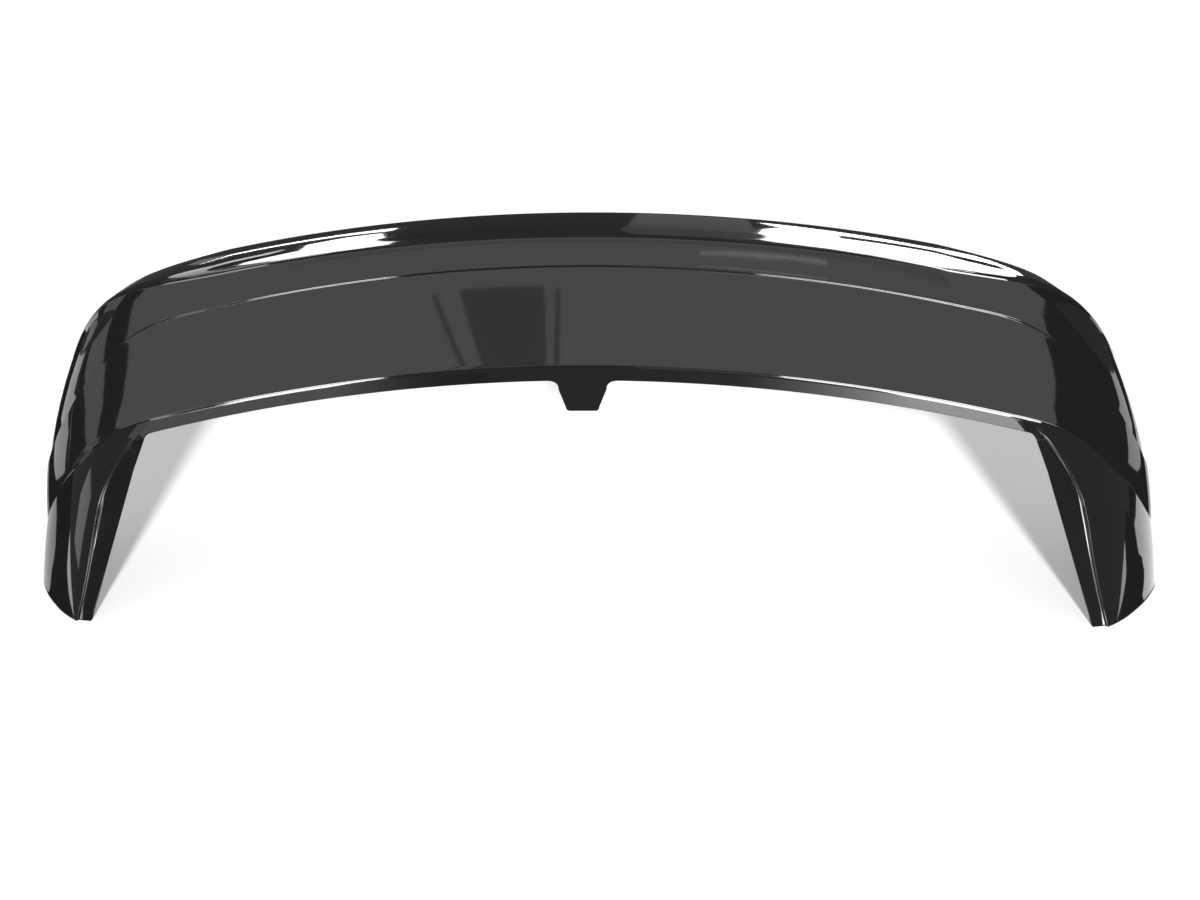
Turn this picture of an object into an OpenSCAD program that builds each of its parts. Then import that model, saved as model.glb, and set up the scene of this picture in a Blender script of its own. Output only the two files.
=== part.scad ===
// Car rear spoiler: one moulded shell that frames the top and the sides of a rear window.
// A broad band with a rolled lip on top bends round at both ends and runs down into two legs.
// Millimetres. X to the right, Y forward over the car, Z up. The leg ends stand on Z = 0.

/* [Overall shape] */
// Half of the width, measured at the leg ends
half_width = 617; // [450:1:750]
// Height of the top edge in the middle
top_z = 419; // [300:1:500]
// Radius of the top edge as seen from behind
top_r = 1735; // [900:5:4000]
// Extra fall of the top edge round the corner
top_fall = 67; // [0:1:120]
// Fall of the top edge along the side return
side_fall = 66; // [0:1:120]
// How fast the sides lean in with height, larger is straighter
side_bow = 1100; // [600:10:4000]
// Width of the rounded corner, across the car
corner_x = 130; // [60:1:200]
// Depth of the rounded corner, along the car
corner_y = 52; // [25:1:120]
// Length of the straight side return
side_run = 60; // [20:1:140]
// Wall thickness
wall = 3; // [2:0.1:5]

/* [Lower crease and strip] */
// Height of the lower crease in the middle
kink_z = 254; // [150:0.5:350]
// Radius of the lower crease as seen from behind
kink_r = 2000; // [900:5:4000]
// Extra fall of the lower crease round the corner
kink_fall = 100; // [0:1:180]
// Y of the lower crease in the middle
kink_y = 24; // [0:0.5:60]
// Y of the lower crease where the corner starts
kink_y_end = 11; // [0:0.5:60]
// Height of the strip under the lower crease
strip_h = 13.5; // [6:0.5:40]
// Slope of the strip along the window
strip_tilt = 25; // [5:1:60]
// How far the strip's upper edge stands out from the crease
strip_out = 2; // [0:0.1:6]
// Height of the ledge over the strip's upper edge
strip_ledge = 1.3; // [0.5:0.1:5]
// Slope of the strip where it steps out on the leg
leg_step_tilt = 42; // [10:1:70]
// Corner angle at which the step on the leg is steepest
step_full = 27; // [15:1:50]
// Corner angle at which the step on the leg has run out
step_end = 54; // [30:1:80]

/* [Upper crease and lip] */
// Height of the upper crease in the middle
crease_z = 372; // [250:0.5:450]
// Radius of the upper crease as seen from behind
crease_r = 1720; // [900:5:4000]
// Extra fall of the upper crease round the corner
crease_fall = 140; // [0:1:200]
// How far the upper band is set back at the upper crease
crease_step = 2.4; // [1:0.1:8]
// Radius of the rolled lip
lip_r = 11; // [8:0.5:60]
// Length of the ledge behind the lip
ledge = 26; // [10:1:80]
// Slope of the ledge
ledge_slope = 12; // [0:1:50]
// Share of the lip that is lost round the corner
lip_loss = 0.6; // [0:0.05:0.85]
// Radius of the top edge where it turns down
edge_r = 4; // [3.5:0.5:10]
// Height of the hidden flange behind the top edge
flange_h = 18; // [6:1:40]

/* [Legs] */
// Slope of the legs, millimetres along the car for each one in height
leg_lean = 0.53; // [0.1:0.01:1]
// Corner angle of the leg's inner edge at the strip
leg_in = 8; // [4:1:20]
// Corner angle of the leg's crease at the strip
leg_crease = 12; // [10:0.5:30]
// Corner angle of the leg's crease half way down
leg_crease_mid = 23.2; // [12:0.1:40]
// Corner angle of the leg's crease at its end
leg_crease_low = 28.7; // [12:0.1:45]
// X of the inner edge at the leg's end
leg_in_x = 534; // [400:1:600]
// Height of the kink in the inner edge
leg_kink_z = 148; // [60:1:200]
// X of the kink in the inner edge
leg_kink_x = 488; // [380:1:560]
// Radius of the window corner between the leg and the strip
window_r = 5; // [1:0.5:10]
// Y of the inner edge at the leg's end
leg_tip_y = -83; // [-160:1:0]
// How far the flange beside the window is set back from the leg
leg_recess = 3; // [0.5:0.1:6]
// Share of the flange's width at which its step begins
recess_start = 0.86; // [0.6:0.01:0.95]

/* [Middle tab] */
// Half width of the tab at its lower end
tab_low = 17; // [8:0.5:40]
// Half width of the tab below its fillets
tab_high = 24.8; // [10:0.1:60]
// Height of the tab below the strip
tab_h = 29; // [10:0.5:60]
// Width of the fillet between tab and strip
tab_fillet_x = 13.5; // [3:0.5:30]
// Height of the fillet between tab and strip
tab_fillet_z = 9; // [3:0.5:20]
// Radius of the tab's lower corners
tab_corner = 3.5; // [1:0.5:8]

/* [Hidden] */
gloss_black = [0.06, 0.06, 0.06];
step_ramp = 1.2;
least_row = 0.6;

// Outline helpers. A column is [side, share of the band, corner angle, run forward, drop of its lower end].
// The drop is a share of the tab's height.
function arc_fall(x, r) = r - sqrt(r * r - x * x);
function side_x(z) = half_width - z * z / side_bow;
function col_x(c, z) = (side_x(z) - corner_x) * c[1] + corner_x * sin(c[2]);
function line_z(c, z0, r, drop, z) =
    let (z1 = z0 - arc_fall(col_x(c, z), r) - drop,
         z2 = z0 - arc_fall(col_x(c, z1), r) - drop)
    z0 - arc_fall(col_x(c, z2), r) - drop;
function low_line(c) = line_z(c, kink_z, kink_r, kink_fall * pow(sin(c[2]), 3), 200);
function high_line(c) = line_z(c, crease_z, crease_r, crease_fall * pow(sin(c[2]), 4), 320);
function top_line(c) =
    line_z(c, top_z, top_r, top_fall * pow(c[2] / 90, 4), 300)
    - side_fall * (1 - pow(1 - c[3] / side_run, 3));
function wrap_y(c) = corner_y * (1 - cos(c[2])) + c[3];
function kink_in(c) = c[2] > 0 ? kink_y_end * cos(c[2]) : kink_y + (kink_y_end - kink_y) * c[1] * c[1];
function out_dir(c) =
    let (a = corner_y * sin(c[2]), b = -corner_x * cos(c[2]), l = norm([a, b]))
    [a / l, b / l];

// Lip section, as [inward, upward] from its foot
function lip_share(c) = 1 - lip_loss * pow(sin(c[2]), 1.5);
function lip_rise(c) = lip_share(c) * (lip_r * cos(ledge_slope) + ledge * sin(ledge_slope));
function lip_foot(c) = top_line(c) - lip_rise(c);
function lip_section(m) =
    let (turn = 90 - ledge_slope,
         i0 = m * lip_r * (1 - cos(turn)),
         h0 = m * lip_r * sin(turn),
         i1 = i0 + m * ledge * cos(ledge_slope),
         h1 = h0 + m * ledge * sin(ledge_slope),
         ci = i1 + edge_r * sin(ledge_slope),
         ch = h1 - edge_r * cos(ledge_slope))
    concat(
        [for (k = [0 : 5]) let (a = turn * k / 5) [m * lip_r * (1 - cos(a)), m * lip_r * sin(a)]],
        [[(i0 + i1) / 2, (h0 + h1) / 2], [i1, h1]],
        [for (a = [90, 45, 0]) [ci + edge_r * cos(a), ch + edge_r * sin(a)]],
        [[ci + edge_r, ch - flange_h]]);

// Strip and tab
function strip_fade(c) = c[2] < step_end ? 1 - pow(c[2] / step_end, 2) : 0;
function strip_low(c) = low_line(c) - max(least_row, strip_h * strip_fade(c));
function strip_slope(c) = strip_tilt + (leg_step_tilt - strip_tilt) * min(1, c[2] / step_full);
function strip_edge(c) = low_line(c) - min(strip_ledge, (low_line(c) - strip_low(c)) / 2);
function strip_point(c, z) =
    [c[0] * col_x(c, z),
     wrap_y(c) + kink_in(c) - strip_out * strip_fade(c) - (strip_edge(c) - z) * tan(strip_slope(c)), z];

// Band between the creases, and the lip above it
function band_point(c, z, out) =
    let (t = (z - low_line(c)) / (lip_foot(c) - low_line(c)), d = out_dir(c))
    [c[0] * (col_x(c, z) + d[0] * out), wrap_y(c) + kink_in(c) * (1 - t) + d[1] * out, z];
function lip_point(c, q) =
    let (p = band_point(c, lip_foot(c), -crease_step / 2), d = out_dir(c))
    [p[0] - c[0] * d[0] * q[0], p[1] - d[1] * q[0], p[2] + q[1]];
function upper_column(c) =
    let (k = low_line(c), h = high_line(c))
    concat(
        [strip_point(c, strip_low(c) - c[4] * tab_h), strip_point(c, strip_edge(c)), band_point(c, k, 0)],
        [for (t = [0.1, 0.4, 0.7, 1]) band_point(c, k + (h - k) * t, t * crease_step / 2)],
        [band_point(c, h + step_ramp, -crease_step / 2)],
        [for (q = lip_section(lip_share(c))) lip_point(c, q)]);

// Leg below the strip: a flat flange beside the window, a crease, then the rounded body
in_col = [1, 1, leg_in, 0, 0];
in_top = strip_point(in_col, strip_low(in_col) - window_r);
function inner_x(z) = z < leg_kink_z
    ? leg_in_x + (leg_kink_x - leg_in_x) * z / leg_kink_z
    : leg_kink_x + (in_top[0] - leg_kink_x) * (z - leg_kink_z) / (in_top[2] - leg_kink_z);
function crease_angle(v) =
    leg_crease_mid
    + (leg_crease_low - leg_crease_mid) * pow(max(0, 1 - v / 0.5), 2)
    + (leg_crease - leg_crease_mid) * pow(max(0, (v - 0.65) / 0.35), 1.9);
function body_point(side, phi, v) =
    let (c = [side, 1, phi, 0, 0], top = strip_point(c, strip_low(c)), z = top[2] * v)
    [side * col_x(c, z), top[1] - leg_lean * (top[2] - z), z];
function window_point(v) =
    let (z = in_top[2] * v)
    [inner_x(z), leg_tip_y + (in_top[1] - leg_tip_y) * v, z];
function recess(w) = leg_recess * min(1, (1 - w) / (1 - recess_start));
function leg_point(c, v) =
    let (crease = crease_angle(v), w = (c[2] - leg_in) / (leg_crease - leg_in))
    w < 1
    ? let (a = window_point(v), b = body_point(1, crease, v), p = a + (b - a) * w)
        [c[0] * p[0], p[1] + recess(w), p[2]]
    : let (phi = c[2] + (crease - leg_crease) * (90 - c[2]) / (90 - leg_crease))
        body_point(c[0], phi, v) + [0, c[3], 0];

// Columns from the middle outward
tab_ref = side_x(kink_z - strip_h) - corner_x;
tab_cols = concat(
    [[0, 1], [tab_low * 0.5, 1], [tab_low - tab_corner, 1], [tab_low - 0.3 * tab_corner, 1 - 0.3 * tab_corner / tab_h],
     [tab_low + 0.5, 1 - 1.3 * tab_corner / tab_h]],
    [for (s = [0 : 0.25 : 1])
        [tab_high + tab_fillet_x * s * s, tab_fillet_z / tab_h * (1 - s) * (1 - s)]]);
half_cols = concat(
    [for (p = tab_cols) [p[0] / tab_ref, 0, 0, p[1]]],
    [for (k = [1 : 12]) let (a = (tab_high + tab_fillet_x) / tab_ref) [a + (1 - a) * k / 12, 0, 0, 0]],
    [for (t = [0 : 0.25 : 0.75])
        [1, asin(sin(leg_in) - (1 - t) * window_r / corner_x), 0, (1 - sqrt(1 - t * t)) * window_r / tab_h]],
    [for (w = [0, 0.43, recess_start, 1])
        [1, leg_in + (leg_crease - leg_in) * w, 0, pow(1 - w, 2) * window_r / tab_h]],
    [for (k = [1 : 12]) [1, leg_crease + (90 - leg_crease) * k / 12, 0, 0]],
    [for (k = [1 : 3]) [1, 90, side_run * k / 3, 0]]);
half_n = len(half_cols);
columns = concat(
    [for (k = [half_n - 1 : -1 : 1]) concat([-1], half_cols[k])],
    [for (k = [0 : half_n - 1]) concat([1], half_cols[k])]);
cols = len(columns);
leg_cols = 19;
rows_lo = 9;
leg_rows = [for (i = [0 : rows_lo - 1]) 0.986 * i / (rows_lo - 1)];
rows_up = len(upper_column(columns[0]));

// Vertices: the upper block of all columns, then the two legs
leg_start = rows_up * cols;
leg_size = rows_lo * leg_cols;
function is_left(j) = j < leg_cols;
function has_leg(j) = j < leg_cols || j >= cols - leg_cols;
function vertex(i, j) = i >= 0
    ? i * cols + j
    : leg_start + (is_left(j) ? 0 : leg_size) + (i + rows_lo) * leg_cols + (is_left(j) ? j : j - cols + leg_cols);
upper_columns = [for (c = columns) upper_column(c)];
outer = concat(
    [for (i = [0 : rows_up - 1]) for (j = [0 : cols - 1]) upper_columns[j][i]],
    [for (s = [0, 1]) for (i = [0 : rows_lo - 1]) for (k = [0 : leg_cols - 1])
        leg_point(columns[s * (cols - leg_cols) + k], leg_rows[i])]);
function exists(i, j) = j >= 0 && j < cols && i < rows_up && i >= -rows_lo && (i >= 0 || has_leg(j));
function near(i, j, di, dj) = exists(i + di, j + dj) ? outer[vertex(i + di, j + dj)] : outer[vertex(i, j)];
function normal(i, j) =
    let (n = cross(near(i, j, 0, 1) - near(i, j, 0, -1), near(i, j, 1, 0) - near(i, j, -1, 0)))
    n / norm(n);
function inner_vertex(i, j) =
    let (p = outer[vertex(i, j)], n = normal(i, j), f = n[0] * n[0] + n[1] * n[1])
    i == -rows_lo ? p - [n[0], n[1], 0] * wall / f : p - n * wall;
inner = concat(
    [for (i = [0 : rows_up - 1]) for (j = [0 : cols - 1]) inner_vertex(i, j)],
    [for (s = [0, 1]) for (i = [-rows_lo : -1]) for (k = [0 : leg_cols - 1])
        inner_vertex(i, s * (cols - leg_cols) + k)]);

// Faces: both sheets and the rim that joins them
total = len(outer);
cells = [for (i = [-rows_lo : rows_up - 2]) for (j = [0 : cols - 2])
    if (exists(i, j) && exists(i, j + 1) && !(i < 0 && is_left(j) && !is_left(j + 1)))
        [vertex(i, j), vertex(i, j + 1), vertex(i + 1, j + 1), vertex(i + 1, j)]];
inner_l = leg_cols - 1;
inner_r = cols - leg_cols;
border = concat(
    [for (j = [inner_l : inner_r - 1]) vertex(0, j)],
    [for (i = [0 : -1 : -rows_lo + 1]) vertex(i, inner_r)],
    [for (j = [inner_r : cols - 2]) vertex(-rows_lo, j)],
    [for (i = [-rows_lo : rows_up - 2]) vertex(i, cols - 1)],
    [for (j = [cols - 1 : -1 : 1]) vertex(rows_up - 1, j)],
    [for (i = [rows_up - 1 : -1 : -rows_lo + 1]) vertex(i, 0)],
    [for (j = [0 : inner_l - 1]) vertex(-rows_lo, j)],
    [for (i = [-rows_lo : -1]) vertex(i, inner_l)]);
border_n = len(border);
shell_faces = concat(
    [for (q = cells) each [[q[0], q[2], q[1]], [q[0], q[3], q[2]]]],
    [for (q = cells) each [[q[0] + total, q[1] + total, q[2] + total], [q[0] + total, q[2] + total, q[3] + total]]],
    [for (k = [0 : border_n - 1])
        let (a = border[k], b = border[(k + 1) % border_n])
        each [[a, b, b + total], [a, b + total, a + total]]]);

// The origin is under the middle of the box around the part
shell_points = concat(outer, inner);
shell_y = [for (p = shell_points) p[1]];
mid_y = (min(shell_y) + max(shell_y)) / 2;

module spoiler_shell() {
    color(gloss_black)
        translate([0, -mid_y, 0])
            polyhedron(points = shell_points, faces = shell_faces, convexity = 8);
}

spoiler_shell();
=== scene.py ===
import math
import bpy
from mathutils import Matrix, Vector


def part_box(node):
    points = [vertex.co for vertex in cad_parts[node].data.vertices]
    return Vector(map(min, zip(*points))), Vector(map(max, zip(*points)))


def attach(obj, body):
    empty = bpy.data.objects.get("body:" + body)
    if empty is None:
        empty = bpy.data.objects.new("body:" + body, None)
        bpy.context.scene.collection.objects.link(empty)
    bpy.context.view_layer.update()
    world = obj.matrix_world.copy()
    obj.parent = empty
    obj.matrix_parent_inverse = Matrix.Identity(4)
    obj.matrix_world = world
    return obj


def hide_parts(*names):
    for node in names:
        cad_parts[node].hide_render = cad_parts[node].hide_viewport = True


bl_info = {
    "name": "Car rear spoiler",
    "version": (1, 0, 0),
    "blender": (4, 5, 0),
    "location": "View3D > Sidebar > Spoiler",
    "description": "Builds a moulded rear spoiler over its CAD frame, with a plain studio",
    "category": "Object",
}

import bpy
import numpy as np
from mathutils import Matrix, Vector

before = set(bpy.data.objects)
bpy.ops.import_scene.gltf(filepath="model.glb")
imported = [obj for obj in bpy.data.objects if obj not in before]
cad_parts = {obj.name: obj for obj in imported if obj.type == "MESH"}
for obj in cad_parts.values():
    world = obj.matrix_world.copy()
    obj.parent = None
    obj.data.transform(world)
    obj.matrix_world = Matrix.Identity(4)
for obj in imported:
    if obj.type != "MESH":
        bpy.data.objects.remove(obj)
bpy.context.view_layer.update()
CAD_LOW, CAD_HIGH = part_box("spoiler_shell")

MM = 0.001
WHITE = (1, 1, 1, 1)


# Roundings, blends and curve powers of the shell

LEAST_ROW = 0.6 * MM
ROUND_STRIP = 0.8 * MM
ROUND_KINK = 1.0 * MM
ROUND_CREASE = 1.2 * MM
ROUND_SHARE = 0.4
STEP_FLAT = 0.3
LEDGE_LIFT = 0.4
KINK_BLEND = 14 * MM
TOP_BLEND = 0.014
KINK_FALL_POWER = 3
CREASE_FALL_POWER = 4
TOP_FALL_POWER = 4
RETURN_FALL_POWER = 3
LIP_LOSS_POWER = 1.5
LEG_BEND_LOW = 0.5
LEG_BEND_LOW_POWER = 2
LEG_BEND_HIGH = 0.65
LEG_BEND_HIGH_POWER = 1.9


# Each line over the shell is found in a few rounds from a height close to it

LINE_ROUNDS = 3
LOW_LINE_START = 0.2
HIGH_LINE_START = 0.32
TOP_LINE_START = 0.3


# Columns of the sheet, from the middle of the tab to the end of the side return

TAB_FLAT_COLUMNS = 7
TAB_CORNER_ANGLES = np.radians([22, 45, 68])
TAB_SIDE_COLUMNS = 9
TAB_SIDE_END = 0.95
TAB_FILLET_COLUMNS = 10
BAND_COLUMNS = 80
BEFORE_WINDOW_COLUMNS = 5
WINDOW_ROUND_COLUMNS = 9
FLANGE_SHARES = [0.0, 0.12, 0.3, 0.5, 0.68, 0.8]
FLANGE_STEP_COLUMNS = 9
CREASE_FIRST = math.radians(0.6)
CREASE_NEXT = math.radians(1.3)
CORNER_COLUMNS = 56
RETURN_COLUMNS = 10


# Rows of the sheet, from the floor to the hidden flange

LEG_ROWS = 40
LEG_ROWS_END = 0.984
LEG_LAST_SHARES = [0.988, 0.992, 0.996]
STRIP_ROWS = 9
KINK_TURN_ROWS = 3
BAND_ROWS = 24
BAND_CROWDING = 1.15
CREASE_TURN_ROWS = 4
UPPER_BAND_ROWS = 7
LIP_ROWS = 18
LEDGE_ROWS = 12
EDGE_ROWS = 8
FLANGE_DOWN_SHARES = (0.35, 0.7, 1.0)


# Tolerances and the finished mesh

SAME_ANGLE = 1e-9
WINDOW_CENTRE = (0, 0, 0.12)
FLOOR_NEAR = 1 * MM
WELD = 0.002 * MM
SHARP_ANGLE = math.radians(50)
WALL_STEPS = ((0.12, 0.6), (0.32, 0.95), (0.5, 1.0), (0.68, 0.95), (0.88, 0.6), (1.0, 0.0))


# Waves and haze of the lacquer

NOISE_OUT = "Fac"
BROAD_WAVES = {"Scale": 9.0, "Detail": 1.0, "Roughness": 0.4}
FINE_WAVES = {"Scale": 70.0, "Detail": 1.0, "Roughness": 0.5}
HAZE_CLOUD = {"Scale": 14.0, "Detail": 3.0}
BROAD_HEIGHT = 6.0
FINE_HEIGHT = 0.35
HAZE_RANGE = 0.02
LACQUER_IOR = 1.54


# Studio: places of the cards, and levels at which a strength of 1 is white

SENSOR_MM = 36.0
VIEW_END = 100.0
CAMERA_PLANE = 80 * MM
FLOOR_HALF = 6.0
CEILING_Z = 2.4
LAMP_DROP = 0.02
CARD_LIFT = 1 * MM
UPPER_LIFT = 2 * CARD_LIFT
WALL_Y = -3.2
LEG_SHADE_Y = -3.0
STRIP_WALL_Y = -2.2
BLOB_X = -2.5
GRADE_LEAST = 0.2
SUN_FROM = (0.3, -2.6, 1.0)
SUN_ANGLE = math.radians(4)
FLOOR_GLOW = 0.16
ROOM_LEVEL = 0.16
FILL_LEVEL = 0.45


# Sizes and colours that a user would change

def length_prop(name, description, default_mm, soft_max_mm=2000.0):
    return bpy.props.FloatProperty(
        name=name,
        description=description,
        default=default_mm * MM,
        soft_max=soft_max_mm * MM,
        subtype="DISTANCE",
        unit="LENGTH",
        precision=4,
    )


def angle_prop(name, description, default_deg):
    return bpy.props.FloatProperty(
        name=name,
        description=description,
        default=math.radians(default_deg),
        subtype="ANGLE",
        unit="ROTATION",
    )


class SpoilerShape(bpy.types.PropertyGroup):
    """Driving sizes of the shell, as in the CAD source; ramp, crown and rim are finer here"""

    half_width: bpy.props.FloatProperty(
        name="Half width",
        description="Half of the width, measured at the leg ends",
        default=CAD_HIGH.x,
        subtype="DISTANCE",
        unit="LENGTH",
    )
    top_z: length_prop("Top height", "Height of the top edge in the middle", 419)
    top_r: length_prop("Top radius", "Radius of the top edge as seen from behind", 1735)
    top_fall: length_prop("Top fall", "Extra fall of the top edge round the corner", 67)
    side_fall: length_prop("Side fall", "Fall of the top edge along the side return", 66)
    side_bow: length_prop("Side bow", "How fast the sides lean in with height", 1100)
    corner_x: length_prop("Corner width", "Width of the rounded corner, across the car", 130)
    corner_y: length_prop("Corner depth", "Depth of the rounded corner, along the car", 52)
    side_run: length_prop("Side return", "Length of the straight side return", 60)
    wall: length_prop("Wall", "Wall thickness of the moulding", 3)
    rim: length_prop("Rim roundness", "How far the rounded rim bulges", 0.3)

    kink_z: length_prop("Lower crease height", "Height of the lower crease in the middle", 254)
    kink_r: length_prop("Lower crease radius", "Radius of the lower crease", 2000)
    kink_fall: length_prop("Lower crease fall", "Extra fall round the corner", 100)
    kink_y: length_prop("Lower crease depth", "Y of the lower crease in the middle", 24)
    kink_y_end: length_prop("Lower crease end depth", "Y where the corner starts", 11)
    strip_h: length_prop("Strip height", "Height of the strip beside the window", 13.5)
    strip_tilt: angle_prop("Strip slope", "Slope of the strip along the window", 25)
    strip_out: length_prop("Strip step", "How far the strip's upper edge stands out", 2.0)
    strip_ledge: length_prop("Strip ledge", "Height of the ledge over the strip's edge", 1.3)
    leg_step_tilt: angle_prop("Leg step slope", "Slope of the strip where it meets the leg", 42)
    step_full: angle_prop("Leg step full", "Corner angle at which the leg's step is steepest", 27)
    step_end: angle_prop("Leg step end", "Corner angle at which the leg's step has run out", 54)

    crease_z: length_prop("Upper crease height", "Height of the upper crease in the middle", 372)
    crease_r: length_prop("Upper crease radius", "Radius of the upper crease", 1720)
    crease_fall: length_prop("Upper crease fall", "Extra fall round the corner", 140)
    crease_step: length_prop("Upper crease step", "Set-back of the upper band", 2.4)
    step_ramp: length_prop("Upper crease ramp", "Height over which the set-back runs", 0.1)
    lip_r: length_prop("Lip radius", "Radius of the rolled lip", 11)
    ledge: length_prop("Ledge", "Length of the ledge behind the lip", 26)
    ledge_slope: angle_prop("Ledge slope", "Slope of the ledge", 12)
    ledge_crown: angle_prop("Ledge crown", "Angle by which the ledge bends at either end", 4)
    lip_loss: bpy.props.FloatProperty(
        name="Lip loss",
        description="Share of the lip that is lost round the corner",
        default=0.6,
        subtype="FACTOR",
        min=0.0,
        max=0.85,
    )
    edge_r: length_prop("Top edge radius", "Radius where the ledge turns down", 4)
    flange_h: length_prop("Hidden flange", "Height of the flange behind the top edge", 18)

    leg_lean: bpy.props.FloatProperty(
        name="Leg lean",
        description="Slope of the legs, along the car for each unit of height",
        default=0.53,
    )
    leg_in: angle_prop("Leg inner edge", "Corner angle of the inner edge at the strip", 8)
    leg_crease: angle_prop("Leg crease top", "Corner angle of the crease at the strip", 12)
    leg_crease_mid: angle_prop("Leg crease middle", "Corner angle of the crease half way", 23.2)
    leg_crease_low: angle_prop("Leg crease end", "Corner angle of the crease at the floor", 28.7)
    leg_in_x: length_prop("Leg end inner X", "X of the inner edge at the leg's end", 534)
    leg_kink_z: length_prop("Leg kink height", "Height of the kink in the inner edge", 148)
    leg_kink_x: length_prop("Leg kink X", "X of the kink in the inner edge", 488)
    window_r: length_prop("Window corner", "Radius of the window corner at the strip", 5)
    leg_tip_y: length_prop("Leg tip Y", "Y of the inner edge at the leg's end", -83)
    leg_recess: length_prop("Leg recess", "Set-back of the flange beside the window", 3)
    recess_start: bpy.props.FloatProperty(
        name="Recess start",
        description="Share of the flange's width at which its step begins",
        default=0.86,
        subtype="FACTOR",
    )

    tab_low: length_prop("Tab lower half width", "Half width at the tab's lower end", 17)
    tab_high: length_prop("Tab upper half width", "Half width below the fillets", 24.8)
    tab_h: length_prop("Tab height", "Height of the tab below the strip", 29)
    tab_fillet_x: length_prop("Tab fillet width", "Width of the fillet at the strip", 13.5)
    tab_fillet_z: length_prop("Tab fillet height", "Height of the fillet", 9)
    tab_corner: length_prop("Tab corner", "Radius of the tab's lower corners", 3.5)


class SpoilerFinish(bpy.types.PropertyGroup):
    """Colour and gloss of the moulding"""

    colour: bpy.props.FloatVectorProperty(
        name="Colour",
        description="Base colour of the plastic",
        default=(0.0062, 0.0060, 0.0057),
        subtype="COLOR",
        min=0.0,
        max=1.0,
    )
    roughness: bpy.props.FloatProperty(
        name="Roughness",
        description="Roughness of the lacquered face",
        default=0.045,
        subtype="FACTOR",
        min=0.0,
        max=1.0,
    )
    ripple: bpy.props.FloatProperty(
        name="Ripple",
        description="Height of the faint waves in the lacquer",
        default=0.00003,
        unit="LENGTH",
    )


class SpoilerStudio(bpy.types.PropertyGroup):
    """Camera, floor and lamps"""

    camera_height: length_prop("Camera height", "Height of the lens over the floor", 1063.62)
    camera_back: length_prop("Camera distance", "Distance of the lens behind the creases", 1923.19)
    camera_side: length_prop("Camera offset", "Distance of the lens to the right", 159)
    camera_pitch: angle_prop("Camera pitch", "How far the camera looks down", 25)
    camera_yaw: angle_prop("Camera yaw", "How far the camera looks to the left", 3.814)
    lens_mm: bpy.props.FloatProperty(
        name="Lens",
        description="Focal length for a sensor 36 mm wide",
        default=60.0,
    )
    floor_colour: bpy.props.FloatVectorProperty(
        name="Floor",
        description="Colour of the pale floor",
        default=(0.86, 0.86, 0.86),
        subtype="COLOR",
    )
    sun_strength: bpy.props.FloatProperty(
        name="Main light",
        description="Strength of the main light, which stands low in front of the part",
        default=5.4,
    )
    strip_radiance: bpy.props.FloatProperty(
        name="Light strip",
        description="Brightness of the overhead light strips in reflections",
        default=26.0,
    )


# Node trees from Python expressions

class Socket:
    """Wraps an output socket, so that an expression on it adds Math nodes"""

    def __init__(self, tree, output):
        self.tree = tree
        self.output = output

    def math(self, operation, *values):
        node = self.tree.nodes.new("ShaderNodeMath")
        node.operation = operation
        for slot, value in zip(node.inputs, values):
            set_input(self.tree, slot, value)
        return Socket(self.tree, node.outputs[0])

    def __add__(self, other):
        return self.math("ADD", self, other)

    def __radd__(self, other):
        return self.math("ADD", other, self)

    def __sub__(self, other):
        return self.math("SUBTRACT", self, other)

    def __rsub__(self, other):
        return self.math("SUBTRACT", other, self)

    def __mul__(self, other):
        return self.math("MULTIPLY", self, other)

    def __rmul__(self, other):
        return self.math("MULTIPLY", other, self)

    def __truediv__(self, other):
        return self.math("DIVIDE", self, other)

    def __rtruediv__(self, other):
        return self.math("DIVIDE", other, self)

    def maximum(self, other):
        return self.math("MAXIMUM", self, other)

    def minimum(self, other):
        return self.math("MINIMUM", self, other)


def set_input(tree, slot, value):
    if isinstance(value, Socket):
        tree.links.new(value.output, slot)
    else:
        slot.default_value = value


def add_node(tree, kind, settings=None, **inputs):
    """Adds a node, its settings first, then values or links by input name; gives its outputs"""
    node = tree.nodes.new(kind)
    for name, value in (settings or {}).items():
        setattr(node, name, value)
    for name, value in inputs.items():
        wanted = name.replace("_", " ")
        slot = next(s for s in node.inputs if s.name == wanted and s.enabled)
        set_input(tree, slot, value)
    return {s.name: Socket(tree, s) for s in node.outputs if s.enabled}


# The outer sheet of the shell, worked out from the same rules as the CAD source

class Column:
    """A run of upright lines over the shell: tau along the band, phi round the corner, run forward"""

    def __init__(self, side, tau, phi, run, tab):
        self.side = np.asarray(side, float)
        self.tau = np.asarray(tau, float)
        self.phi = np.asarray(phi, float)
        self.run = np.asarray(run, float)
        self.tab = np.asarray(tab, float)

    def pick(self, index):
        return Column(self.side[index], self.tau[index], self.phi[index], self.run[index], self.tab[index])


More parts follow.
